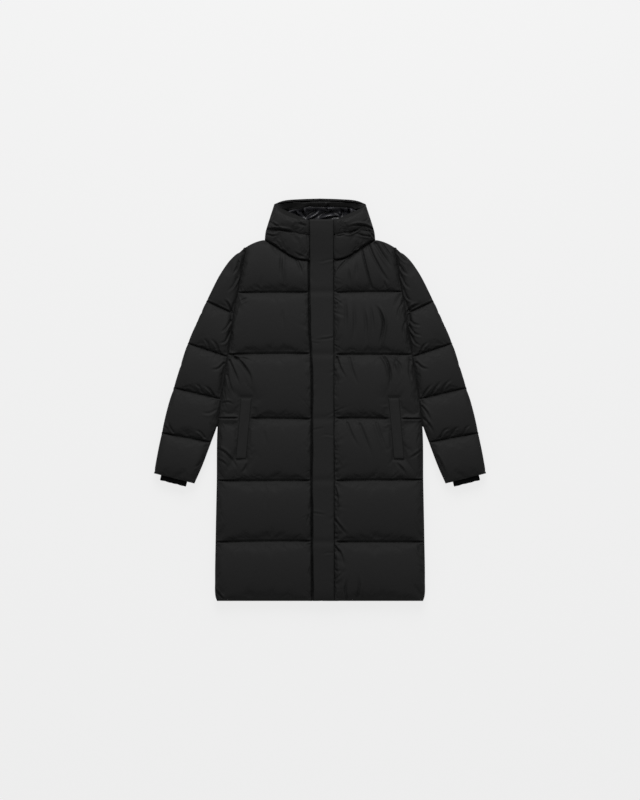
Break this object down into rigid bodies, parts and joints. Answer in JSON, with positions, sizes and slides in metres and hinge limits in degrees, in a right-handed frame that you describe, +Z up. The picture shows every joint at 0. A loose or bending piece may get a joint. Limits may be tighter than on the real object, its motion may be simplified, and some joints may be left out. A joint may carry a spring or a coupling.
{
  "type": "hooded puffer coat",
  "caption": "Long hooded puffer coat, closed and laid flat on its back, with wide quilted rows, a storm flap, pocket welts and ribbed inner cuffs.",
  "frame": {"origin": "on the surface the coat lies on, under the middle of its bounding box", "axes": "+Y from hem to hood, +Z up from the surface to the coat's front, +X towards the wearer's left sleeve"},
  "size_m": [0.997, 1.206, 0.0663],
  "materials": {
    "shell": "matt woven synthetic",
    "lining": "smooth, with a soft shine",
    "rib": "matt ribbed knit",
    "zip": "woven tape"
  },
  "bodies": {
    "root": {"back": "shell", "front_right": "shell", "front_left": "shell", "sleeve_right": "shell", "sleeve_left": "shell", "pocket_welt_right": "shell", "pocket_welt_left": "shell", "hood_side_right": "shell", "hood_side_left": "shell", "hood_crown": "shell", "hood_facing": "shell", "storm_flap": "shell", "hood_lining": "lining", "rib_cuff_right": "rib", "rib_cuff_left": "rib", "front_zip": "zip"}
  },
  "joints": []
}
